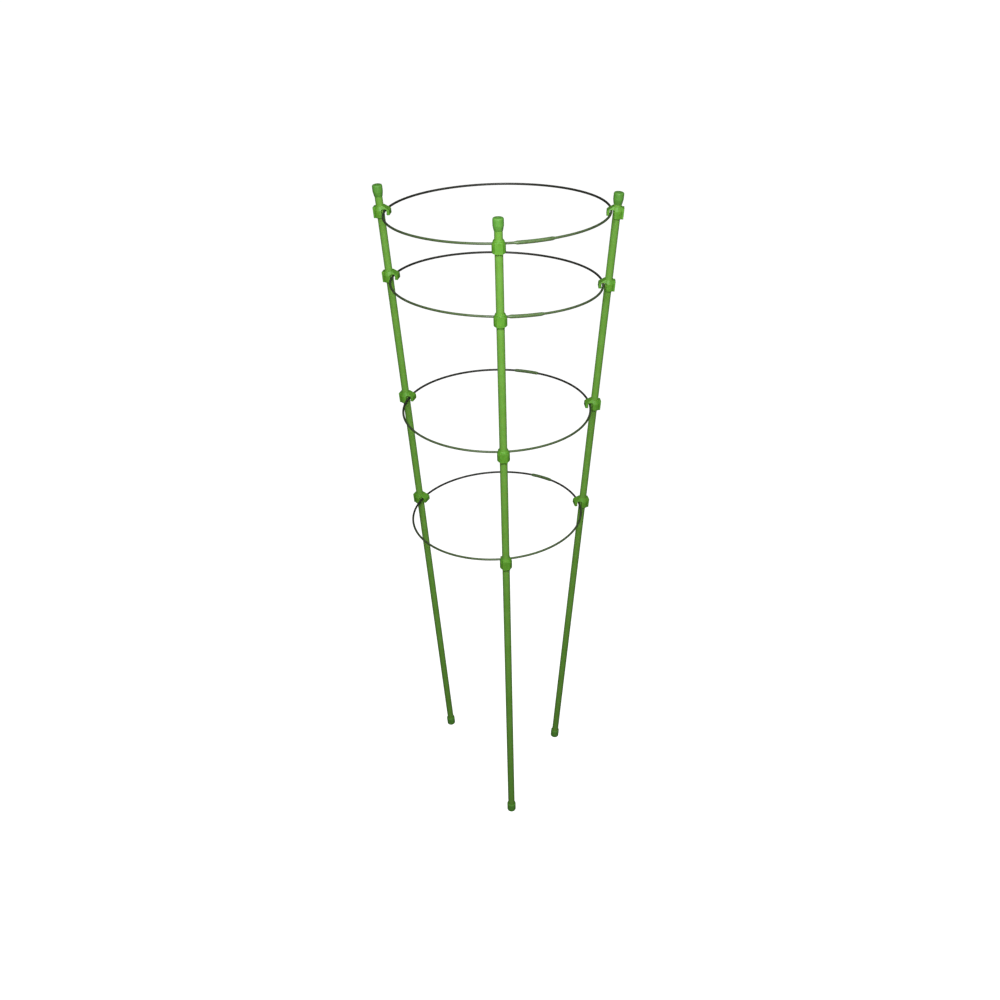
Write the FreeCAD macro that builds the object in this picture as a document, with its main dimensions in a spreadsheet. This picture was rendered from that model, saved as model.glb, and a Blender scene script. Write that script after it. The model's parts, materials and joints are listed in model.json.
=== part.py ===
"""Plant-support cage: three coated stakes, four wire rings and twelve hook clips.

The stakes stand on the ground and lean outwards, so the cage is widest at the top. Each ring
hangs in three clips, one on each stake, and is as large as the three stakes let it be at
its height. Millimetres, +Z up, origin on the ground under the middle of the whole cage.
"""
import FreeCAD
import Part
import Sketcher
import math
import os

Vec = FreeCAD.Vector
STAKES = ("left", "front", "right")
RINGS = (1, 2, 3, 4)

# Driving dimensions. A ring's stations are distances from the foot, measured along each stake.
DIMS = {
    "stake_length": 750,          # overall, caps included
    "stake_diameter": 8,          # over the plastic coat
    "coat_thickness": 0.6,
    "tube_wall": 0.7,
    "cap_wall": 1.25,             # of both caps, round the stake
    "cap_end": 2,                 # closed end of both caps
    "cap_edge": 1.6,              # rounding of both caps' closed ends
    "top_cap_length": 12,
    "top_cap_taper": 4.5,         # tapered skirt, part of the length
    "top_cap_lip": 0.2,           # wall left at the end of the taper
    "foot_cap_length": 11,
    "wire_diameter": 2.4,         # over the coat
    "wire_coat": 0.3,
    "wire_gap": 0.4,              # between the two butted wire ends
    "sleeve_wall": 0.6,
    "sleeve_clearance": 0.02,
    "wire_play": 0.45,            # room on each side of the wire in its hook
    "wire_headroom": 0.6,         # room over the wire, under the hook's roof
    "clip_clearance": 0.05,       # between the clip's bore and the stake
    "collar_wall": 2.6,
    "collar_below": 7,            # collar's foot, below the wire's centre
    "collar_above": 5.2,          # collar's top, above the wire's centre
    "collar_shoulder": 1,         # height where the collar's cone starts
    "collar_chamfer": 0.5,
    "collar_rim": 1,              # width of the flat top round the stake
    "throat": 2.4,                # from the stake's axis to the jaws' ends
    "hood_width": 10,
    "hood_drop": 4.2,             # drop of the roof from the stake to the lip
    "hood_shoulder": 3,           # height of the slope on each side of the hood
    "lip_thickness": 3,
    "lip_below": 4.2,
    "snap_height": 0.5,
    "snap_below": 2.2,            # top of the snap ridge, below the wire's centre
    "snap_length": 1.5,
    "tab_width": 8,
    "tab_proud": 0.4,             # beyond the round collar
    "tab_above": 4.2,
    "left_foot_x": -50.5, "left_foot_y": 58.5, "left_top_x": -123, "left_top_y": 17,
    "front_foot_x": 18.5, "front_foot_y": -107.5, "front_top_x": -12, "front_top_y": -127.5,
    "right_foot_x": 89.5, "right_foot_y": 24.5, "right_top_x": 116, "right_top_y": -27.5,
    "ring_1_left": 724, "ring_1_front": 724.5, "ring_1_right": 731.5,
    "ring_2_left": 655, "ring_2_front": 654, "ring_2_right": 655,
    "ring_3_left": 511.5, "ring_3_front": 508.5, "ring_3_right": 515.5,
    "ring_4_left": 375.5, "ring_4_front": 377, "ring_4_right": 386,
    # From the front clip along the wire to the middle of the sleeve.
    "ring_1_seam": 34.4, "ring_2_seam": 25.5, "ring_3_seam": 280.2, "ring_4_seam": 237.3,
    "ring_1_sleeve": 40, "ring_2_sleeve": 36, "ring_3_sleeve": 29, "ring_4_sleeve": 28,
}


# ---- sheets -------------------------------------------------------------------------------

def make_sheet(doc, name, cells):
    """A spreadsheet with one named number on each row."""
    sheet = doc.addObject("Spreadsheet::Sheet", name)
    for row, (alias, number) in enumerate(cells.items(), start=1):
        sheet.set(f"A{row}", alias)
        sheet.set(f"B{row}", repr(number))
        sheet.setAlias(f"B{row}", alias)
    doc.recompute()
    return sheet


# ---- layout: where the stakes, rings and clips are --------------------------------------------

def stake_layout(dims):
    """Foot point and direction of each stake; the rounded foot just touches the ground."""
    edge_ring = dims.stake_diameter / 2 + dims.cap_wall - dims.cap_edge
    layout = {}
    for name in STAKES:
        foot_x, foot_y = getattr(dims, f"{name}_foot_x"), getattr(dims, f"{name}_foot_y")
        lean_x = getattr(dims, f"{name}_top_x") - foot_x
        lean_y = getattr(dims, f"{name}_top_y") - foot_y
        rise = math.sqrt(dims.stake_length ** 2 - lean_x ** 2 - lean_y ** 2)
        direction = Vec(lean_x, lean_y, rise).normalize()
        tilt = math.acos(direction.z)
        lift = edge_ring * math.sin(tilt) + dims.cap_edge * (1 - math.cos(tilt))
        layout[name] = (Vec(foot_x, foot_y, lift), direction)
    return layout


def circle_through(points):
    """Centre, radius and upward normal of the circle through three points."""
    first, second, third = points
    side, other = second - first, third - first
    normal = side.cross(other)
    if normal.z < 0:
        normal = normal * -1
    across = side.cross(other)
    offset = (across.cross(side) * other.dot(other) + other.cross(across) * side.dot(side))
    offset = offset * (1 / (2 * across.dot(across)))
    return first + offset, offset.Length, normal.normalize()


def ring_layout(dims, stakes, ring, shift=0):
    """Centre, wire radius and normal of a ring, shifted along the stakes."""
    points = []
    for name in STAKES:
        foot, direction = stakes[name]
        points.append(foot + direction * (getattr(dims, f"ring_{ring}_{name}") + shift))
    centre, reach, normal = circle_through(points)
    return centre, reach - wire_offset(dims), normal


def seam_angle(dims, stakes, ring, layout):
    """Where the wire's two ends meet, a set length of wire round from the front clip."""
    centre, radius, normal = layout
    foot, direction = stakes["front"]
    towards = foot + direction * getattr(dims, f"ring_{ring}_front") - centre
    flat = (Vec(1, 0, 0) - normal * normal.x).normalize()
    front = math.atan2(towards.dot(normal.cross(flat)), towards.dot(flat))
    return math.degrees(front + getattr(dims, f"ring_{ring}_seam") / radius)


def wire_offset(dims):
    """From a stake's axis to the centre of the wire beside it."""
    return dims.stake_diameter / 2 + dims.wire_play + dims.wire_diameter / 2


def clip_placement(dims, stake, ring_centre, ring_normal, station):
    """The clip sits where the wire passes its stake."""
    foot, direction = stake
    axis_point = foot + direction * station
    wire_point = axis_point + (ring_centre - axis_point).normalize() * wire_offset(dims)
    height = (wire_point - foot).dot(direction)
    origin = foot + direction * height
    inward = (wire_point - origin).normalize()
    turn = FreeCAD.Rotation(inward, direction.cross(inward), direction, "ZXY")
    return FreeCAD.Placement(origin, turn)


def ring_placement(centre, normal, angle):
    """Ring frame whose X points at the given angle, counted from +X about the normal."""
    flat = (Vec(1, 0, 0) - normal * normal.x).normalize()
    turn = FreeCAD.Rotation(flat, normal.cross(flat), normal, "ZXY")
    spin = FreeCAD.Rotation(Vec(0, 0, 1), angle)
    return FreeCAD.Placement(centre, turn.multiply(spin))


# ---- sketch and feature helpers ------------------------------------------------------------------

def new_body(doc, label):
    body = doc.addObject("PartDesign::Body", label)
    body.Label = label
    return body


def new_sketch(body, name, plane):
    sketch = body.newObject("Sketcher::SketchObject", name)
    support = [item for item in body.Origin.OriginFeatures if item.Role == plane][0]
    sketch.AttachmentSupport = [(support, "")]
    sketch.MapMode = "FlatFace"
    return sketch


def draw_circle(sketch, radius):
    """Circle about the origin; radius is an expression."""
    number = sketch.evalExpression(radius)
    shape = sketch.addGeometry(Part.Circle(Vec(0, 0, 0), Vec(0, 0, 1), number), False)
    sketch.addConstraint(Sketcher.Constraint("Coincident", shape, 3, -1, 1))
    row = sketch.addConstraint(Sketcher.Constraint("Radius", shape, number))
    sketch.setExpression(f"Constraints[{row}]", radius)


def draw_outline(sketch, corners):
    """Closed outline; each corner is a pair of expressions, across and up."""
    places = [Vec(sketch.evalExpression(x), sketch.evalExpression(y), 0) for x, y in corners]
    edges = [Part.LineSegment(start, places[(index + 1) % len(places)])
             for index, start in enumerate(places)]
    first = sketch.addGeometry(edges, False)[0]
    for index in range(len(corners)):
        after = first + (index + 1) % len(corners)
        sketch.addConstraint(Sketcher.Constraint("Coincident", first + index, 2, after, 1))
    for index, (corner, place) in enumerate(zip(corners, places)):
        for kind, text, number in (("DistanceX", corner[0], place.x),
                                   ("DistanceY", corner[1], place.y)):
            row = sketch.addConstraint(
                Sketcher.Constraint(kind, -1, 1, first + index, 1, number))
            sketch.setExpression(f"Constraints[{row}]", text)


def pad(body, name, sketch, length, both_ways=False):
    feature = body.newObject("PartDesign::Pad", name)
    feature.Profile = sketch
    feature.Midplane = both_ways
    feature.setExpression("Length", length)
    return feature


def revolve(body, name, sketch):
    feature = body.newObject("PartDesign::Revolution", name)
    feature.Profile = sketch
    feature.ReferenceAxis = (sketch, ["V_Axis"])
    feature.Angle = 360
    return feature


def pocket(body, name, sketch):
    feature = body.newObject("PartDesign::Pocket", name)
    feature.Profile = sketch
    feature.Midplane = True
    feature.Type = 1              # through everything
    return feature


# ---- stakes -------------------------------------------------------------------------------

def build_pipe(doc, label, outer, inner):
    """A pipe as long as the stake between its caps' closed ends."""
    body = new_body(doc, label)
    sketch = new_sketch(body, f"{label}_section", "XY_Plane")
    draw_circle(sketch, outer)
    draw_circle(sketch, inner)
    pad(body, f"{label}_run", sketch, "dims.stake_length - 2 * dims.cap_end")
    return body


def build_cap(doc, label, profile):
    body = new_body(doc, label)
    sketch = new_sketch(body, f"{label}_profile", "XZ_Plane")
    draw_outline(sketch, profile)
    revolve(body, f"{label}_turned", sketch)
    return body


def round_end(body, name, radius):
    """Rounds the outer edge of a cap's closed end, which lies at height 0."""
    body.Document.recompute()
    turned = body.Tip
    edges = turned.Shape.Edges
    rim = [f"Edge{number}" for number, edge in enumerate(edges, start=1)
           if abs(edge.BoundBox.ZMax) < 1e-6 and abs(edge.BoundBox.ZMin) < 1e-6
           and isinstance(edge.Curve, Part.Circle)]
    fillet = body.newObject("PartDesign::Fillet", name)
    fillet.Base = (turned, rim)
    fillet.setExpression("Radius", radius)
    return fillet


def cap_profiles():
    """Section of each cap, from its closed end at 0 to its open end."""
    bore, outer = "dims.stake_diameter / 2", "dims.stake_diameter / 2 + dims.cap_wall"
    foot = [("0", "0"), (outer, "0"), (outer, "dims.foot_cap_length - dims.collar_chamfer"),
            (f"{outer} - dims.collar_chamfer", "dims.foot_cap_length"),
            (bore, "dims.foot_cap_length"), (bore, "dims.cap_end"), ("0", "dims.cap_end")]
    top = [("0", "0"), (outer, "0"), (outer, "dims.top_cap_length - dims.top_cap_taper"),
           (f"{bore} + dims.top_cap_lip", "dims.top_cap_length"),
           (bore, "dims.top_cap_length"), (bore, "dims.cap_end"), ("0", "dims.cap_end")]
    return {"foot_cap": foot, "top_cap": top}


def build_stake(doc, dims, name, stake):
    """Steel tube, plastic coat and two push-on caps."""
    foot, direction = stake
    upright = FreeCAD.Rotation(Vec(0, 0, 1), direction)
    run_start = foot + direction * dims.cap_end
    coat_bore = "dims.stake_diameter / 2 - dims.coat_thickness"
    tube = build_pipe(doc, f"stake_{name}_tube", coat_bore, f"{coat_bore} - dims.tube_wall")
    coat = build_pipe(doc, f"stake_{name}_coat", "dims.stake_diameter / 2", coat_bore)
    for piece in (tube, coat):
        piece.Placement = FreeCAD.Placement(run_start, upright)
    pieces = [tube, coat]
    for kind, profile in cap_profiles().items():
        cap = build_cap(doc, f"stake_{name}_{kind}", profile)
        round_end(cap, f"{cap.Name}_edge", "dims.cap_edge")
        cap.Placement = FreeCAD.Placement(foot, upright)
        if kind == "top_cap":
            flipped = FreeCAD.Rotation(Vec(0, 0, 1), direction * -1)
            cap.Placement = FreeCAD.Placement(foot + direction * dims.stake_length, flipped)
        pieces.append(cap)
    return pieces


# ---- rings -------------------------------------------------------------------------------

def torus(doc, name, ring_radius, tube_radius, sweep):
    """Bent round bar; all three sizes are expressions."""
    bar = doc.addObject("Part::Torus", name)
    bar.setExpression("Radius1", ring_radius)
    bar.setExpression("Radius2", tube_radius)
    bar.setExpression("Angle3", sweep)
    return bar


def bent_pipe(doc, label, ring_radius, outer, inner, sweep):
    """Bent pipe: a bent bar with a thinner whole hoop cut out of it."""
    cut = doc.addObject("Part::Cut", label)
    cut.Label = label
    cut.Base = torus(doc, f"{label}_outside", ring_radius, outer, sweep)
    cut.Tool = torus(doc, f"{label}_inside", ring_radius, inner, "360")
    return cut


def build_ring(doc, dims, layout, seam, ring):
    """Wire core, its coat, and the sleeve that holds the two butted ends together."""
    centre, radius, normal = layout
    degrees = 180 / math.pi
    radius_cell, length_cell = f"rings.ring_{ring}_radius", f"dims.ring_{ring}_sleeve"
    coat_radius = "dims.wire_diameter / 2"
    core_radius = f"{coat_radius} - dims.wire_coat"
    sweep = f"360 - dims.wire_gap / {radius_cell} * 180 / pi"
    core = torus(doc, f"ring_{ring}_core", radius_cell, core_radius, sweep)
    core.Label = f"ring_{ring}_core"
    coat = bent_pipe(doc, f"ring_{ring}_coat", radius_cell, coat_radius, core_radius, sweep)
    gap_start = ring_placement(centre, normal, seam + dims.wire_gap / radius * degrees / 2)
    sleeve_bore = f"{coat_radius} + dims.sleeve_clearance"
    sleeve = bent_pipe(doc, f"ring_{ring}_sleeve", radius_cell, f"{sleeve_bore} + dims.sleeve_wall",
                       sleeve_bore, f"{length_cell} / {radius_cell} * 180 / pi")
    half = getattr(dims, f"ring_{ring}_sleeve") / radius * degrees / 2
    core.Placement = gap_start
    coat.Placement = gap_start
    sleeve.Placement = ring_placement(centre, normal, seam - half)
    return [core, coat, sleeve]


# ---- clips --------------------------------------------------------------------------------

def build_clip(doc, label):
    """Open collar round the stake, with a hooded hook for the wire on its inner side.

    The origin is on the stake's axis at the height of the wire's centre; +X points inwards.
    """
    body = new_body(doc, label)
    collar = "dims.stake_diameter / 2 + dims.collar_wall"
    bore = "dims.stake_diameter / 2 + dims.clip_clearance"
    lip_inner = "dims.stake_diameter / 2 + dims.wire_diameter + 2 * dims.wire_play"
    lip_outer = f"{lip_inner} + dims.lip_thickness"
    roof = "dims.wire_diameter / 2 + dims.wire_headroom"
    above, below = "dims.collar_above", "-dims.collar_below"

    sketch = new_sketch(body, f"{label}_hood_profile", "XZ_Plane")
    hood_end = f"{above} - dims.hood_drop"
    draw_outline(sketch, [
        ("0", above), (bore, above), (f"{lip_outer} - dims.collar_chamfer", hood_end),
        (lip_outer, f"{hood_end} - dims.collar_chamfer"), (lip_outer, "-dims.lip_below"),
        (lip_inner, "-dims.lip_below"),
        (lip_inner, "-dims.snap_below - dims.snap_length"),
        (f"{lip_inner} - dims.snap_height", "-dims.snap_below - dims.snap_length / 2"),
        (lip_inner, "-dims.snap_below"), (lip_inner, roof), ("0", roof)])
    pad(body, f"{label}_hood", sketch, "dims.hood_width", both_ways=True)

    sketch = new_sketch(body, f"{label}_shoulder_profile", "YZ_Plane")
    over, half = f"{above} + dims.collar_chamfer", "dims.hood_width / 2"
    slope_foot = f"{above} - dims.hood_shoulder"
    for side in ("", "-"):
        draw_outline(sketch, [
            (f"{side}({bore})", above), (f"{side}({half})", slope_foot),
            (f"{side}({half} + dims.collar_chamfer)", slope_foot),
            (f"{side}({half} + dims.collar_chamfer)", over), (f"{side}({bore})", over)])
    pocket(body, f"{label}_shoulders", sketch)

    sketch = new_sketch(body, f"{label}_collar_profile", "XZ_Plane")
    draw_outline(sketch, [
        ("0", below), (f"{collar} - dims.collar_chamfer", below),
        (collar, f"{below} + dims.collar_chamfer"), (collar, "dims.collar_shoulder"),
        (f"{bore} + dims.collar_rim", above), ("0", above)])
    revolve(body, f"{label}_collar", sketch)

    sketch = new_sketch(body, f"{label}_throat_profile", "XZ_Plane")
    under = f"{below} - dims.collar_wall"
    beyond = f"({collar} + {lip_inner} - dims.snap_height) / 2"
    draw_outline(sketch, [("dims.throat", under), (beyond, under), (beyond, roof),
                          ("dims.throat", roof)])
    pocket(body, f"{label}_throat", sketch)

    sketch = new_sketch(body, f"{label}_tab_profile", "XZ_Plane")
    tab_face = f"-({collar}) - dims.tab_proud"
    draw_outline(sketch, [("0", below), (tab_face, below), (tab_face, "dims.tab_above"),
                          ("0", "dims.tab_above")])
    pad(body, f"{label}_tab", sketch, "dims.tab_width", both_ways=True)

    sketch = new_sketch(body, f"{label}_bore_section", "XY_Plane")
    draw_circle(sketch, bore)
    pocket(body, f"{label}_bore", sketch)
    return body


# ---- checks, centring and export ------------------------------------------------------------

def check(doc, pieces):
    """Stops if any object failed or any piece is not one closed valid solid."""
    for item in doc.Objects:
        if "Invalid" in item.State or "Error" in item.State:
            raise RuntimeError(f"{item.Label} failed: {item.State}")
    for piece in pieces:
        shape = piece.Shape
        if shape.isNull() or not shape.isValid() or len(shape.Solids) != 1:
            raise RuntimeError(f"{piece.Label} is not one valid solid")
        if shape.Volume <= 0:
            raise RuntimeError(f"{piece.Label} has no volume")


def centre_on_ground(doc, pieces):
    """Moves the whole cage so that the origin is under the middle of its box."""
    box = FreeCAD.BoundBox()
    for piece in pieces:
        box.add(piece.Shape.optimalBoundingBox(False))
    shift = Vec(-box.Center.x, -box.Center.y, -box.ZMin)
    for piece in pieces:
        place = piece.Placement
        piece.Placement = FreeCAD.Placement(place.Base + shift, place.Rotation)
    doc.recompute()
    return shift


def report_axes(dims, stakes, rings, shift):
    """Prints each ring's slide axis and each clip's axis and ratio."""
    for ring in RINGS:
        centre, radius, normal = rings[ring]
        above = ring_layout(dims, stakes, ring, 1)[0]
        below = ring_layout(dims, stakes, ring, -1)[0]
        axis = (above - below).normalize()
        spot = centre + shift
        print(f"RING {ring} centre {spot.x:.4f} {spot.y:.4f} {spot.z:.4f} radius {radius:.4f} "
              f"normal {normal.x:.6f} {normal.y:.6f} {normal.z:.6f} "
              f"axis {axis.x:.6f} {axis.y:.6f} {axis.z:.6f}")
        for name in STAKES:
            direction = stakes[name][1]
            ratio = axis.dot(normal) / direction.dot(normal)
            print(f"CLIP {name} {ring} axis {direction.x:.6f} {direction.y:.6f} "
                  f"{direction.z:.6f} ratio {ratio:.6f}")
    for name in STAKES:
        foot = stakes[name][0] + shift
        print(f"STAKE {name} foot {foot.x:.4f} {foot.y:.4f} {foot.z:.4f}")


def main():
    doc = FreeCAD.newDocument("plant_cage")
    dims = make_sheet(doc, "dims", DIMS)
    stakes = stake_layout(dims)
    rings = {ring: ring_layout(dims, stakes, ring) for ring in RINGS}
    make_sheet(doc, "rings", {f"ring_{ring}_radius": rings[ring][1] for ring in RINGS})

    pieces = []
    for name in STAKES:
        pieces += build_stake(doc, dims, name, stakes[name])
    for ring in RINGS:
        pieces += build_ring(doc, dims, rings[ring], seam_angle(dims, stakes, ring, rings[ring]), ring)
        centre, _, normal = rings[ring]
        for name in STAKES:
            clip = build_clip(doc, f"clip_{name}_{ring}")
            station = getattr(dims, f"ring_{ring}_{name}")
            clip.Placement = clip_placement(dims, stakes[name], centre, normal, station)
            pieces.append(clip)
    doc.recompute()
    shift = centre_on_ground(doc, pieces)
    check(doc, pieces)

    os.makedirs("parts", exist_ok=True)
    for piece in pieces:
        piece.Shape.exportStep(f"parts/{piece.Label}.step")
    report_axes(dims, stakes, rings, shift)
    print(f"{len(pieces)} pieces written")


main()
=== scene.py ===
import json
import math

import bmesh
import bpy
import numpy as np
from mathutils import Matrix, Vector


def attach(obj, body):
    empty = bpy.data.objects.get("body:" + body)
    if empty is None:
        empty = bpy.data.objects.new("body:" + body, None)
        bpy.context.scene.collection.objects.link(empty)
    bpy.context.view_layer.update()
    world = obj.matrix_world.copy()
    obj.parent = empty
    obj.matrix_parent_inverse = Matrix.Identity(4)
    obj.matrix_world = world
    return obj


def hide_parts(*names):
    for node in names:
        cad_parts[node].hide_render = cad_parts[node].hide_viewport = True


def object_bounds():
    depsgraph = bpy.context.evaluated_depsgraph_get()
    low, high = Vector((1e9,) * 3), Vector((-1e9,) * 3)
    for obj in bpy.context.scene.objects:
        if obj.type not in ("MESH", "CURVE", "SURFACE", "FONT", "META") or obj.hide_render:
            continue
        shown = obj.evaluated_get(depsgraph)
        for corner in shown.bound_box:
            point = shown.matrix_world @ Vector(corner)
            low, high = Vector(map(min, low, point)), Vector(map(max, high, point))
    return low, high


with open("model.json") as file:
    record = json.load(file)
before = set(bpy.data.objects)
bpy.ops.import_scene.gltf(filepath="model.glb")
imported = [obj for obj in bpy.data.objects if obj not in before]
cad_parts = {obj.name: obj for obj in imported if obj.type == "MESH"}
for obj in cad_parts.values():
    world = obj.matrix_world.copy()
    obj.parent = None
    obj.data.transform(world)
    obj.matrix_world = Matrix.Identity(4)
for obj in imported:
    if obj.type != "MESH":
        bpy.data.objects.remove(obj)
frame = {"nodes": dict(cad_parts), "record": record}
cad_low, cad_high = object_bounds()

# A plant-support cage: three coated stakes, four wire rings and twelve hook clips.
# Sizes are in millimetres and turned into metres where a mesh is made.
MM = 0.001
STAKES = ("left", "front", "right")
RINGS = (1, 2, 3, 4)

STAKE_RADIUS = 4.0            # over the plastic coat
COAT_LUMP = 0.05              # the extruded coat's slow rise and fall
COAT_LUMP_SIZE = 9.0
CAP_RADIUS = 5.25
CAP_END = 2.0
CAP_EDGE = 1.6
CAP_LIP = 0.2
FOOT_CAP_LENGTH = 11.0
TOP_CAP_LENGTH = 12.0
TOP_CAP_TAPER = 4.5
CAP_BORE_GAP = 0.02
GATE_RADIUS = 0.9             # where the moulding was cut from its runner
GATE_HEIGHT = 0.25
SKIRT_ROUND = 1.5             # where a top cap's straight side turns into its taper
SKIRT_TURN = 16
MOUTH_ROUND = 0.4             # lip of a foot cap
TURNED_STEPS = 160            # facets round a cap
SEAM_HEIGHT = 0.12            # parting line of a mould
SEAM_WIDTH = 0.35
WIRE_RADIUS = 1.2
CORE_RADIUS = 0.9
WIRE_GAP = 0.4                # between the wire's two butted ends
WIRE_LUMP = 0.05
WIRE_LUMP_SIZE = 5.0
BAR_STEP = 1.5                # between the sections of a swept bar
SLEEVE_RADIUS = 1.85
SLEEVE_END_RADIUS = 1.32      # where it has shrunk down onto the coat
SLEEVE_LUMP = 0.25            # the wire's ends and the shrinking show through
SLEEVE_LUMP_SIZE = 3.0
SLEEVE_STEP = 0.5
SLEEVE_TAPER = 0.09           # share of the sleeve's length that is shrunk down at each end
COLLAR_BELOW = 7.0            # a clip's foot, below the centre of its wire
CLIP_GRAIN = 0.2              # voxel of the clip's remesh
CLIP_TRIANGLES = 26000
PAINTED_SHADE_FRONT_Y = -0.10            # Y in metres where the wire is palest: painted light at the cage's front
PAINTED_SHADE_BACK_Y = 0.02              # and where its painted shade is full and dark, towards the back


# ---- reading the frame ----------------------------------------------------------------------

def node_points(node):
    """Corners of a CAD node's mesh, as rows of an array."""
    vertices = frame["nodes"][node].data.vertices
    points = np.zeros(len(vertices) * 3, np.float32)
    vertices.foreach_get("co", points)
    return points.reshape(-1, 3).astype(float)


def stake_line(name):
    """A point on a stake's axis and its upward direction, from its foot's mount."""
    mount = next(m for m in frame["record"]["mounts"] if m["name"] == f"foot_{name}")
    return Vector(mount["pos_m"]), -Vector(mount["axis"]).normalized()


def span_along(points, start, direction):
    """Lowest and highest distance of the points from a start, along a direction."""
    heights = (points - np.array(start)) @ np.array(direction)
    return float(heights.min()), float(heights.max())


def torus_error(values, points):
    """How far each corner of a coat lies off its torus: outer skin or bore, whichever is near."""
    tilt = np.array([values[3], values[4], 1.0])
    offset = points - values[:3]
    rise = offset @ tilt / np.linalg.norm(tilt)
    flat = np.sqrt(np.maximum((offset ** 2).sum(axis=1) - rise ** 2, 0))
    reach = np.hypot(rise, flat - values[5])
    return reach - np.where(reach > (WIRE_RADIUS + CORE_RADIUS) / 2, WIRE_RADIUS, CORE_RADIUS)


def ring_circle(ring):
    """Centre, upward normal and radius of a ring's wire, fitted to the corners of its coat."""
    points = node_points(f"ring_{ring}_coat") / MM
    # A plane and a sphere through the corners give a first guess, close enough to refine.
    middle = points.mean(axis=0)
    normal = np.linalg.svd(points - middle, full_matrices=False)[2][2]
    sphere = np.linalg.lstsq(np.c_[2 * (points - middle), np.ones(len(points))],
                             ((points - middle) ** 2).sum(axis=1), rcond=None)[0]
    centre = middle + sphere[:3] - normal * (sphere[:3] @ normal)
    radius = np.linalg.norm(points - centre, axis=1).mean()
    values = np.array([*centre, normal[0] / normal[2], normal[1] / normal[2], radius])
    for _ in range(8):
        now = torus_error(values, points)
        nudges = np.diag([1e-4, 1e-4, 1e-4, 1e-6, 1e-6, 1e-4])
        slopes = [(torus_error(values + nudge, points) - now) / nudge.max() for nudge in nudges]
        values = values - np.linalg.lstsq(np.array(slopes).T, now, rcond=None)[0]
    normal = Vector((values[3], values[4], 1.0)).normalized()
    return Vector(values[:3] * MM), normal, float(values[5] * MM)


def frame_matrix(origin, along, towards):
    """Z along one direction, X towards another, at an origin."""
    side = along.cross(towards).normalized()
    forward = side.cross(along)
    turn = Matrix((forward, side, along)).transposed().to_4x4()
    return Matrix.Translation(origin) @ turn


def clip_matrix(name, ring):
    """A clip's own frame: origin on the stake at the wire's height, X inwards."""
    start, up = stake_line(name)
    centre = ring_circle(ring)[0]
    bottom = span_along(node_points(f"clip_{name}_{ring}"), start, up)[0]
    origin = start + up * (bottom + COLLAR_BELOW * MM)
    inward = centre - origin
    return frame_matrix(origin, up, (inward - up * inward.dot(up)).normalized())


# ---- materials ------------------------------------------------------------------------------

def colour(code):
    """sRGB hex to a linear colour."""
    values = [int(code[i:i + 2], 16) / 255 for i in (1, 3, 5)]
    return [v / 12.92 if v <= 0.04045 else ((v + 0.055) / 1.055) ** 2.4 for v in values] + [1.0]


def add_node(tree, kind, settings=None, links=None):
    """One node with its settings, and links given as input: (node, output)."""
    made = tree.nodes.new(kind)
    for key, value in (settings or {}).items():
        if isinstance(key, int) or key in made.inputs:
            made.inputs[key].default_value = value
        else:
            setattr(made, key, value)
    for key, (source, output) in (links or {}).items():
        tree.links.new(source.outputs[output], made.inputs[key])
    return made


def plastic(name, light, dark, roughness, patch_mm, grain_mm, grain_depth_mm, soft=0.0, painted_rear_shade=None):
    """Moulded or extruded plastic: two close shades in patches, and a fine surface grain.

    With a rear shade, the colour deepens smoothly from the cage's front to its back: painted shade,
    darker where less light reaches.
    """
    material = bpy.data.materials.new(name)
    material.use_nodes = True
    tree = material.node_tree
    tree.nodes.clear()
    place = add_node(tree, "ShaderNodeTexCoord")
    patches = add_node(tree, "ShaderNodeTexNoise",
                       {"Scale": 1 / (patch_mm * MM), "Detail": 3.0, "Roughness": 0.55},
                       {"Vector": (place, "Object")})
    shades = add_node(tree, "ShaderNodeValToRGB", links={"Fac": (patches, "Fac")})
    shades.color_ramp.elements[0].position, shades.color_ramp.elements[1].position = 0.3, 0.7
    shades.color_ramp.elements[0].color = colour(dark)
    shades.color_ramp.elements[1].color = colour(light)
    body_colour = (shades, "Color")
    # Painted shade: the colour darkens from the cage's front to its back, standing in for the light
    # falling off.
    if painted_rear_shade:
        axes = add_node(tree, "ShaderNodeSeparateXYZ", links={"Vector": (place, "Object")})
        painted_shade_depth = add_node(tree, "ShaderNodeMapRange", {"From Min": PAINTED_SHADE_FRONT_Y, "From Max": PAINTED_SHADE_BACK_Y},
                         {"Value": (axes, "Y")})
        body = add_node(tree, "ShaderNodeMix", {"data_type": "RGBA", 7: colour(painted_rear_shade)},
                        {0: (painted_shade_depth, "Result"), 6: body_colour})
        body_colour = (body, 2)
    grain = add_node(tree, "ShaderNodeTexNoise",
                     {"Scale": 1 / (grain_mm * MM), "Detail": 2.0},
                     {"Vector": (place, "Object")})
    worn = add_node(tree, "ShaderNodeMapRange",
                    {"From Min": 0.3, "From Max": 0.7, "To Min": roughness - 0.06,
                     "To Max": roughness + 0.08}, {"Value": (patches, "Fac")})
    bump = add_node(tree, "ShaderNodeBump", {"Strength": 0.6, "Distance": grain_depth_mm * MM},
                    {"Height": (grain, "Fac")})
    surface = add_node(tree, "ShaderNodeBsdfPrincipled",
                       {"IOR": 1.5, "Subsurface Weight": soft, "Subsurface Scale": 1.5 * MM},
                       {"Base Color": body_colour, "Roughness": (worn, "Result"),
                        "Normal": (bump, "Normal")})
    add_node(tree, "ShaderNodeOutputMaterial", links={"Surface": (surface, "BSDF")})
    return material


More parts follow.
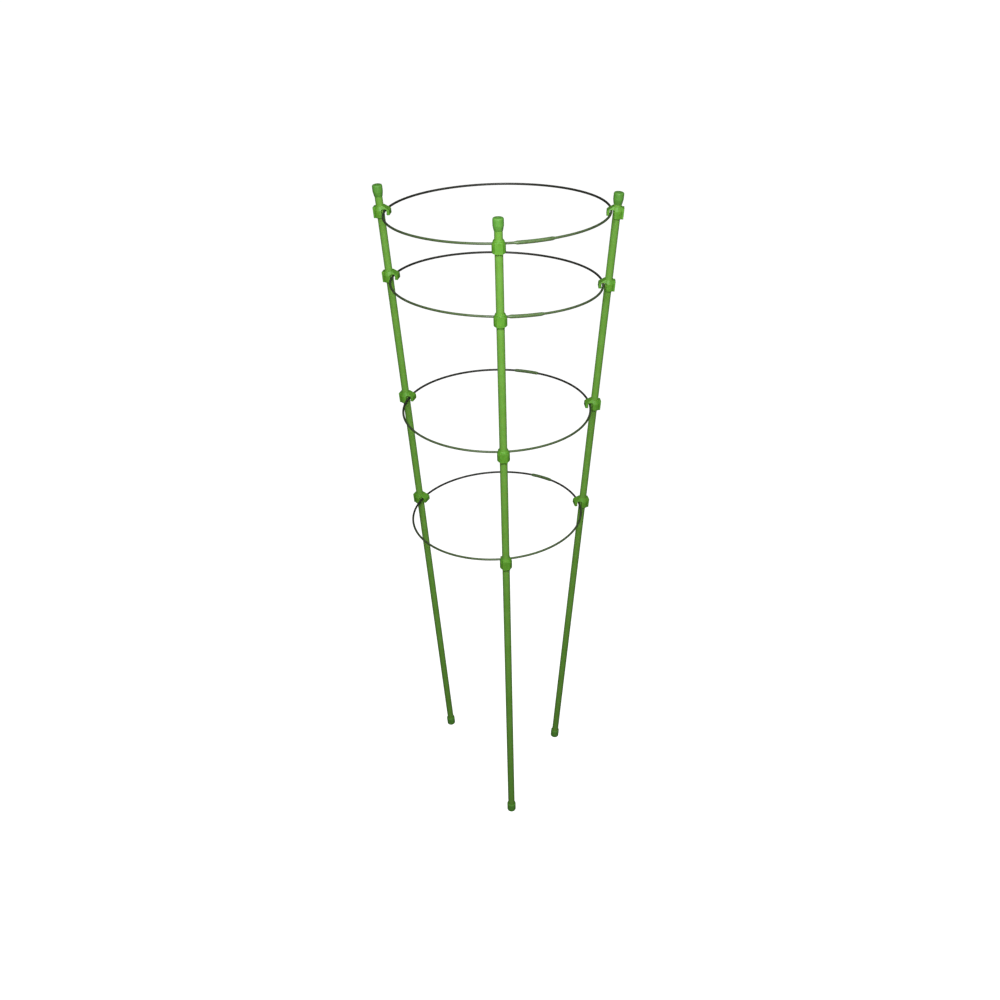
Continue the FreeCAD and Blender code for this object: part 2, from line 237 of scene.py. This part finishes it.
def drawn_steel():
    """Drawn low-carbon steel: grey, with fine die lines that blur its reflections."""
    material = bpy.data.materials.new("drawn_steel")
    material.use_nodes = True
    tree = material.node_tree
    tree.nodes.clear()
    place = add_node(tree, "ShaderNodeTexCoord")
    lines = add_node(tree, "ShaderNodeMapping", {"Scale": (1.0, 1.0, 0.03)},
                     {"Vector": (place, "Object")})
    streaks = add_node(tree, "ShaderNodeTexNoise", {"Scale": 1 / (0.4 * MM), "Detail": 4.0},
                       {"Vector": (lines, "Vector")})
    shades = add_node(tree, "ShaderNodeValToRGB", links={"Fac": (streaks, "Fac")})
    shades.color_ramp.elements[0].color = colour("#8E9092")
    shades.color_ramp.elements[1].color = colour("#C4C6C8")
    worn = add_node(tree, "ShaderNodeMapRange", {"To Min": 0.28, "To Max": 0.45},
                    {"Value": (streaks, "Fac")})
    surface = add_node(tree, "ShaderNodeBsdfPrincipled", {"Metallic": 1.0},
                       {"Base Color": (shades, "Color"), "Roughness": (worn, "Result")})
    add_node(tree, "ShaderNodeOutputMaterial", links={"Surface": (surface, "BSDF")})
    return material


# Extruded polyethylene over the steel tube: satin leaf green, a faint lengthwise mottle.
STAKE_COAT = plastic("extruded_polyethylene_green", "#76AE46", "#6EA63E", 0.42, 14, 0.5, 0.02, 0.05)
# Moulded polyethylene caps: the same green a little deeper, with a spark-eroded mould grain.
CAP_PLASTIC = plastic("moulded_polyethylene_green", "#66A440", "#5A9838", 0.5, 5, 0.35, 0.02, 0.05)
# Moulded polypropylene clips: a more saturated green than the stakes, with a satin finish.
CLIP_PLASTIC = plastic("moulded_polypropylene_green", "#68A832", "#5A9A28", 0.52, 4, 0.4, 0.015, 0.08)
# Thin dark green coat on the ring wire, satin; painted light and shade make it paler and greener at
# the front and darker at the back.
WIRE_COAT = plastic("coated_wire_dark_green", "#5A7046", "#4C6238", 0.42, 8, 0.4, 0.02,
                    # The rear colour below is the painted shade at the back of the cage.
                    painted_rear_shade="#2C2E26")
# Shrink sleeve over the wire's joint: the coat's own green, a little paler and milkier.
SLEEVE_PLASTIC = plastic("shrunk_sleeve_green", "#64804E", "#566E42", 0.38, 4, 0.6, 0.03, 0.1)
STEEL = drawn_steel()


# ---- mesh helpers -----------------------------------------------------------------------------

def make_piece(name, mesh, body, material, replaced=()):
    """A finished mesh becomes a piece that rides on a body."""
    piece = bpy.data.objects.new(name, mesh)
    bpy.context.scene.collection.objects.link(piece)
    if not mesh.materials:
        mesh.materials.append(material)
    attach(piece, body)
    if replaced:
        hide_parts(*replaced)


def arc(centre, radius, start, end, steps):
    """Points (across, up) on an arc, angles in degrees."""
    angles = [math.radians(start + (end - start) * i / steps) for i in range(steps + 1)]
    return [(centre[0] + radius * math.cos(a), centre[1] + radius * math.sin(a)) for a in angles]


def bar_tree():
    """Geometry Nodes: a round bar swept along the host mesh's edges, its surface slightly lumpy."""
    tree = bpy.data.node_groups.new("coated_bar", "GeometryNodeTree")
    face = tree.interface
    face.new_socket("Geometry", in_out="INPUT", socket_type="NodeSocketGeometry")
    for label in ("Bar Radius", "Step", "Lump Height", "Lump Size", "End Taper", "End Scale", "Seed"):
        face.new_socket(label, in_out="INPUT", socket_type="NodeSocketFloat")
    face.new_socket("Sides", in_out="INPUT", socket_type="NodeSocketInt")
    face.new_socket("Material", in_out="INPUT", socket_type="NodeSocketMaterial")
    face.new_socket("Geometry", in_out="OUTPUT", socket_type="NodeSocketGeometry")
    ins = add_node(tree, "NodeGroupInput")
    path = add_node(tree, "GeometryNodeMeshToCurve", links={"Mesh": (ins, "Geometry")})
    even = add_node(tree, "GeometryNodeResampleCurve", {"mode": "LENGTH"},
                    {"Curve": (path, "Curve"), "Length": (ins, "Step")})
    along = add_node(tree, "GeometryNodeSplineParameter")
    mirror = add_node(tree, "ShaderNodeMath", {"operation": "SUBTRACT", 0: 1.0},
                      {1: (along, "Factor")})
    near_end = add_node(tree, "ShaderNodeMath", {"operation": "MINIMUM"},
                        {0: (along, "Factor"), 1: (mirror, "Value")})
    girth = add_node(tree, "ShaderNodeMapRange", {"interpolation_type": "SMOOTHSTEP", "To Max": 1.0},
                     {"Value": (near_end, "Value"), "From Max": (ins, "End Taper"),
                      "To Min": (ins, "End Scale")})
    thick = add_node(tree, "GeometryNodeSetCurveRadius", links={"Curve": (even, "Curve"),
                                                               "Radius": (girth, "Result")})
    section = add_node(tree, "GeometryNodeCurvePrimitiveCircle",
                       links={"Resolution": (ins, "Sides"), "Radius": (ins, "Bar Radius")})
    swept = add_node(tree, "GeometryNodeCurveToMesh", {"Fill Caps": True},
                     {"Curve": (thick, "Curve"), "Profile Curve": (section, "Curve")})
    # Some releases scale the section by this input and not by the curve's radius.
    if "Scale" in swept.inputs:
        tree.links.new(girth.outputs["Result"], swept.inputs["Scale"])
    spot = add_node(tree, "GeometryNodeInputPosition")
    finer = add_node(tree, "ShaderNodeVectorMath", {"operation": "DIVIDE"}, {0: (spot, "Position")})
    sizes = add_node(tree, "ShaderNodeCombineXYZ", links={
        "X": (ins, "Lump Size"), "Y": (ins, "Lump Size"), "Z": (ins, "Lump Size")})
    tree.links.new(sizes.outputs["Vector"], finer.inputs[1])
    lumps = add_node(tree, "ShaderNodeTexNoise",
                     {"noise_dimensions": "4D", "Scale": 1.0, "Detail": 2.0},
                     {"Vector": (finer, "Vector"), "W": (ins, "Seed")})
    centred = add_node(tree, "ShaderNodeMath", {"operation": "SUBTRACT", 1: 0.5}, {0: (lumps, "Fac")})
    height = add_node(tree, "ShaderNodeMath", {"operation": "MULTIPLY"},
                      {0: (centred, "Value"), 1: (ins, "Lump Height")})
    outward = add_node(tree, "GeometryNodeInputNormal")
    push = add_node(tree, "ShaderNodeVectorMath", {"operation": "SCALE"},
                    {0: (outward, "Normal"), "Scale": (height, "Value")})
    lumpy = add_node(tree, "GeometryNodeSetPosition",
                     links={"Geometry": (swept, "Mesh"), "Offset": (push, "Vector")})
    smooth = add_node(tree, "GeometryNodeSetShadeSmooth", links={"Geometry": (lumpy, "Geometry")})
    whole = add_node(tree, "GeometryNodeRealizeInstances", links={"Geometry": (smooth, "Geometry")})
    finish = add_node(tree, "GeometryNodeSetMaterial",
                      links={"Geometry": (whole, "Geometry"), "Material": (ins, "Material")})
    add_node(tree, "NodeGroupOutput", links={"Geometry": (finish, "Geometry")})
    return tree


BAR_TREE = bar_tree()


def swept_bar(name, path, material, **sizes):
    """The bar tree run on a path of points, returned as a plain mesh."""
    host_mesh = bpy.data.meshes.new(f"{name}_path")
    host_mesh.from_pydata(path, [(i, i + 1) for i in range(len(path) - 1)], [])
    host = bpy.data.objects.new(f"{name}_host", host_mesh)
    bpy.context.scene.collection.objects.link(host)
    modifier = host.modifiers.new("bar", "NODES")
    modifier.node_group = BAR_TREE
    values = {"Material": material, "End Taper": 0.001, "End Scale": 1.0, **sizes}
    for item in BAR_TREE.interface.items_tree:
        if item.in_out == "INPUT" and item.name in values:
            modifier[item.identifier] = values[item.name]
    graph = bpy.context.evaluated_depsgraph_get()
    mesh = bpy.data.meshes.new_from_object(host.evaluated_get(graph), depsgraph=graph)
    bpy.data.objects.remove(host)
    bpy.data.meshes.remove(host_mesh)
    mesh.name = name
    tidy_mesh(mesh)
    return mesh


def tidy_mesh(mesh):
    """Merges doubles and turns every face outwards."""
    work = bmesh.new()
    work.from_mesh(mesh)
    bmesh.ops.remove_doubles(work, verts=work.verts, dist=1e-6)
    bmesh.ops.recalc_face_normals(work, faces=work.faces)
    work.to_mesh(mesh)
    work.free()


def sharpen(mesh, degrees):
    """Smooth shading, broken where faces meet at more than an angle."""
    mesh.shade_smooth()
    mesh.set_sharp_from_angle(angle=math.radians(degrees))


# ---- stakes -------------------------------------------------------------------------------

def turned(name, outline, place):
    """A turned solid with a faint mould line down each of its sides."""
    work = bmesh.new()
    rows = []
    for across, up in outline:
        if across < 1e-6:
            rows.append([work.verts.new((0, 0, up * MM))] * TURNED_STEPS)
            continue
        row = []
        for step in range(TURNED_STEPS):
            turn = 2 * math.pi * step / TURNED_STEPS
            ridge = 0.0
            if across > STAKE_RADIUS + CAP_LIP * 2:
                off = min(abs(turn - math.pi / 2), abs(turn - 3 * math.pi / 2)) * across
                ridge = SEAM_HEIGHT * math.exp(-(off / SEAM_WIDTH) ** 2)
            reach = (across + ridge) * MM
            row.append(work.verts.new((reach * math.cos(turn), reach * math.sin(turn), up * MM)))
        rows.append(row)
    for low, high in zip(rows, rows[1:]):
        for step in range(TURNED_STEPS):
            after = (step + 1) % TURNED_STEPS
            corners = list(dict.fromkeys([low[step], low[after], high[after], high[step]]))
            if len(corners) > 2:
                work.faces.new(corners)
    bmesh.ops.recalc_face_normals(work, faces=work.faces)
    work.transform(place)
    mesh = bpy.data.meshes.new(name)
    work.to_mesh(mesh)
    work.free()
    sharpen(mesh, 40)
    return mesh


def cap_outline(length, taper):
    """Half section of a cap, from its closed end outwards and back down its bore."""
    bore = STAKE_RADIUS + CAP_BORE_GAP
    outline = [(0, -GATE_HEIGHT), (GATE_RADIUS * 0.8, -GATE_HEIGHT), (GATE_RADIUS, 0)]
    outline += arc((CAP_RADIUS - CAP_EDGE, CAP_EDGE), CAP_EDGE, -90, 0, 8)
    if taper:
        outline += arc((CAP_RADIUS - SKIRT_ROUND, length - taper - 0.6), SKIRT_ROUND, 0, SKIRT_TURN, 4)
        outline += [(bore + CAP_LIP + 0.12, length - 0.3), (bore + CAP_LIP, length - 0.1)]
    else:
        outline += arc((CAP_RADIUS - MOUTH_ROUND, length - MOUTH_ROUND), MOUTH_ROUND, 0, 90, 4)
    outline += [(bore + 0.1, length), (bore, length - 0.15), (bore, CAP_END), (0, CAP_END)]
    return outline


def make_stakes():
    """Coats from foot to top, and a cap on each end."""
    for number, name in enumerate(STAKES):
        start, up = stake_line(name)
        side = up.cross(Vector((0, 1, 0))).normalized()
        node = f"stake_{name}_coat"
        low, high = span_along(node_points(node), start, up)
        path = [start + up * low, start + up * high]
        mesh = swept_bar(node, path, STAKE_COAT, **{
            "Bar Radius": STAKE_RADIUS * MM, "Step": BAR_STEP * MM, "Sides": 48,
            "Lump Height": COAT_LUMP * MM, "Lump Size": COAT_LUMP_SIZE * MM, "Seed": number})
        sharpen(mesh, 50)
        make_piece(f"{node}_skin", mesh, "stakes", STAKE_COAT, [node])
        caps = (("foot_cap", start + up * (low - CAP_END * MM), up, FOOT_CAP_LENGTH, 0),
                ("top_cap", start + up * (high + CAP_END * MM), -up, TOP_CAP_LENGTH, TOP_CAP_TAPER))
        for kind, end, inward, length, taper in caps:
            node = f"stake_{name}_{kind}"
            place = frame_matrix(end, inward, side)
            mesh = turned(node, cap_outline(length, taper), place)
            make_piece(f"{node}_moulding", mesh, "stakes", CAP_PLASTIC, [node])


# ---- rings -------------------------------------------------------------------------------

def arc_path(centre, normal, radius, middle, start, end, step):
    """Points along part of a circle; the angles are counted from the direction middle."""
    side = normal.cross(middle)
    count = max(2, round(radius * abs(end - start) / step))
    angles = [start + (end - start) * i / count for i in range(count + 1)]
    return [centre + (middle * math.cos(a) + side * math.sin(a)) * radius for a in angles]


def make_rings():
    """Each wire runs once round from its joint, and a shrunk sleeve covers the joint."""
    for ring in RINGS:
        centre, normal, radius = ring_circle(ring)
        points = node_points(f"ring_{ring}_sleeve")
        seam = Vector(points.mean(axis=0)) - centre
        seam = (seam - normal * seam.dot(normal)).normalized()
        side = normal.cross(seam)
        half_sleeve = span_along(points, centre, side)[1] / radius
        half_gap = WIRE_GAP * MM / radius / 2
        path = arc_path(centre, normal, radius, seam, half_gap, 2 * math.pi - half_gap, BAR_STEP * MM)
        mesh = swept_bar(f"ring_{ring}_coat", path, WIRE_COAT, **{
            "Bar Radius": WIRE_RADIUS * MM, "Step": BAR_STEP * MM, "Sides": 20,
            "Lump Height": WIRE_LUMP * MM, "Lump Size": WIRE_LUMP_SIZE * MM, "Seed": 10 + ring})
        sharpen(mesh, 50)
        make_piece(f"ring_{ring}_coat_skin", mesh, f"ring_{ring}", WIRE_COAT,
                   [f"ring_{ring}_coat"])
        path = arc_path(centre, normal, radius, seam, -half_sleeve, half_sleeve, SLEEVE_STEP * MM)
        mesh = swept_bar(f"ring_{ring}_sleeve", path, SLEEVE_PLASTIC, **{
            "Bar Radius": SLEEVE_RADIUS * MM, "Step": SLEEVE_STEP * MM, "Sides": 28,
            "Lump Height": SLEEVE_LUMP * MM, "Lump Size": SLEEVE_LUMP_SIZE * MM, "Seed": 20 + ring,
            "End Taper": SLEEVE_TAPER, "End Scale": SLEEVE_END_RADIUS / SLEEVE_RADIUS})
        sharpen(mesh, 50)
        make_piece(f"ring_{ring}_sleeve_shrunk", mesh, f"ring_{ring}", SLEEVE_PLASTIC,
                   [f"ring_{ring}_sleeve"])


# ---- clips --------------------------------------------------------------------------------

def master_clip():
    """One clip in its own frame, its edges softened as a mould leaves them."""
    source = frame["nodes"]["clip_front_1"].data.copy()
    source.transform(clip_matrix("front", 1).inverted())
    tidy_mesh(source)
    worker = bpy.data.objects.new("clip_master", source)
    bpy.context.scene.collection.objects.link(worker)
    remesh = worker.modifiers.new("grain", "REMESH")
    remesh.mode, remesh.voxel_size = "VOXEL", CLIP_GRAIN * MM
    soften = worker.modifiers.new("soften", "SMOOTH")
    soften.factor, soften.iterations = 0.5, 6
    graph = bpy.context.evaluated_depsgraph_get()
    dense = len(worker.evaluated_get(graph).data.polygons) * 2
    thin = worker.modifiers.new("thin", "DECIMATE")
    thin.ratio = min(1.0, CLIP_TRIANGLES / dense)
    graph = bpy.context.evaluated_depsgraph_get()
    mesh = bpy.data.meshes.new_from_object(worker.evaluated_get(graph), depsgraph=graph)
    bpy.data.objects.remove(worker)
    mesh.materials.clear()
    return mesh


def make_clips():
    """Twelve copies of one moulding, each in its own place."""
    master = master_clip()
    for ring in RINGS:
        for name in STAKES:
            node = f"clip_{name}_{ring}"
            mesh = master.copy()
            mesh.name = node
            mesh.transform(clip_matrix(name, ring))
            sharpen(mesh, 60)
            make_piece(f"{node}_moulding", mesh, node, CLIP_PLASTIC, [node])
    bpy.data.meshes.remove(master)


# ---- stage, light and camera ------------------------------------------------------------------

def make_stage():
    """Pale floor that runs out of sight, and an even pale surround."""
    mesh = bpy.data.meshes.new("floor")
    reach = 30.0
    mesh.from_pydata([(-reach, -reach, 0), (reach, -reach, 0), (reach, reach, 0), (-reach, reach, 0)],
                     [], [(0, 1, 2, 3)])
    floor = bpy.data.objects.new("floor", mesh)
    bpy.context.scene.collection.objects.link(floor)
    material = bpy.data.materials.new("pale_paper")
    material.use_nodes = True
    tree = material.node_tree
    tree.nodes.clear()
    paper = add_node(tree, "ShaderNodeBsdfDiffuse", {"Color": (0.5, 0.5, 0.5, 1)})
    glow = add_node(tree, "ShaderNodeEmission", {"Strength": 1.0})
    both = add_node(tree, "ShaderNodeAddShader", links={0: (paper, "BSDF"), 1: (glow, "Emission")})
    seen = add_node(tree, "ShaderNodeLightPath")
    dim = add_node(tree, "ShaderNodeBsdfDiffuse", {"Color": (0.08, 0.08, 0.08, 1)})
    pick = add_node(tree, "ShaderNodeMixShader", links={
        "Fac": (seen, "Is Camera Ray"), 1: (dim, "BSDF"), 2: (both, "Shader")})
    add_node(tree, "ShaderNodeOutputMaterial", links={"Surface": (pick, "Shader")})
    mesh.materials.append(material)

    world = bpy.data.worlds.new("surround")
    bpy.context.scene.world = world
    world.use_nodes = True
    tree = world.node_tree
    tree.nodes.clear()
    bright = add_node(tree, "ShaderNodeBackground", {"Color": (1, 1, 1, 1), "Strength": 1.0})
    dim = add_node(tree, "ShaderNodeBackground", {"Color": (1, 1, 1, 1), "Strength": 0.08})
    seen = add_node(tree, "ShaderNodeLightPath")
    pick = add_node(tree, "ShaderNodeMixShader", links={
        "Fac": (seen, "Is Camera Ray"), 1: (dim, "Background"), 2: (bright, "Background")})
    add_node(tree, "ShaderNodeOutputWorld", links={"Surface": (pick, "Shader")})


def make_light(name, place, target, size, power):
    """A square soft light."""
    light = bpy.data.lights.new(name, "AREA")
    light.shape, light.size, light.energy = "SQUARE", size, power
    lamp = bpy.data.objects.new(name, light)
    bpy.context.scene.collection.objects.link(lamp)
    lamp.location = place
    lamp.rotation_euler = (Vector(target) - Vector(place)).to_track_quat("-Z", "Y").to_euler()


def make_lights():
    """A soft key over the front and a weak fill from the right."""
    height = cad_high.z
    # The key stands close above the front, so that the stakes darken towards their feet.
    make_light("key", (-0.15, -0.9, height + 0.38), (0, 0, height * 0.6), 0.4, 12)
    make_light("fill", (0.9, -0.5, height + 0.5), (0, 0, height * 0.8), 0.6, 2)


def make_camera():
    """Looking down on the cage from in front and a little to its left."""
    place = Vector((-0.0880, -1.0603, 0.9922))
    target = Vector((0.0077, 0.0, 0.3941))
    roll = 0.0190
    lens_per_width = 1.0572
    data = bpy.data.cameras.new("camera")
    data.sensor_width = 36.0
    data.lens = lens_per_width * data.sensor_width
    camera = bpy.data.objects.new("camera", data)
    bpy.context.scene.collection.objects.link(camera)
    ahead = (target - place).normalized()
    right = ahead.cross(Vector((0, 0, 1))).normalized()
    above = right.cross(ahead)
    across = right * math.cos(roll) + above * math.sin(roll)
    camera.matrix_world = frame_matrix(place, -ahead, across)
    bpy.context.scene.camera = camera


make_stakes()
make_rings()
make_clips()
for node, thing in frame["nodes"].items():
    if node.endswith("_tube") or node.endswith("_core"):
        thing.data.materials.clear()
        thing.data.materials.append(STEEL)
make_stage()
make_lights()
make_camera()
bpy.context.scene.view_settings.view_transform = "Standard"
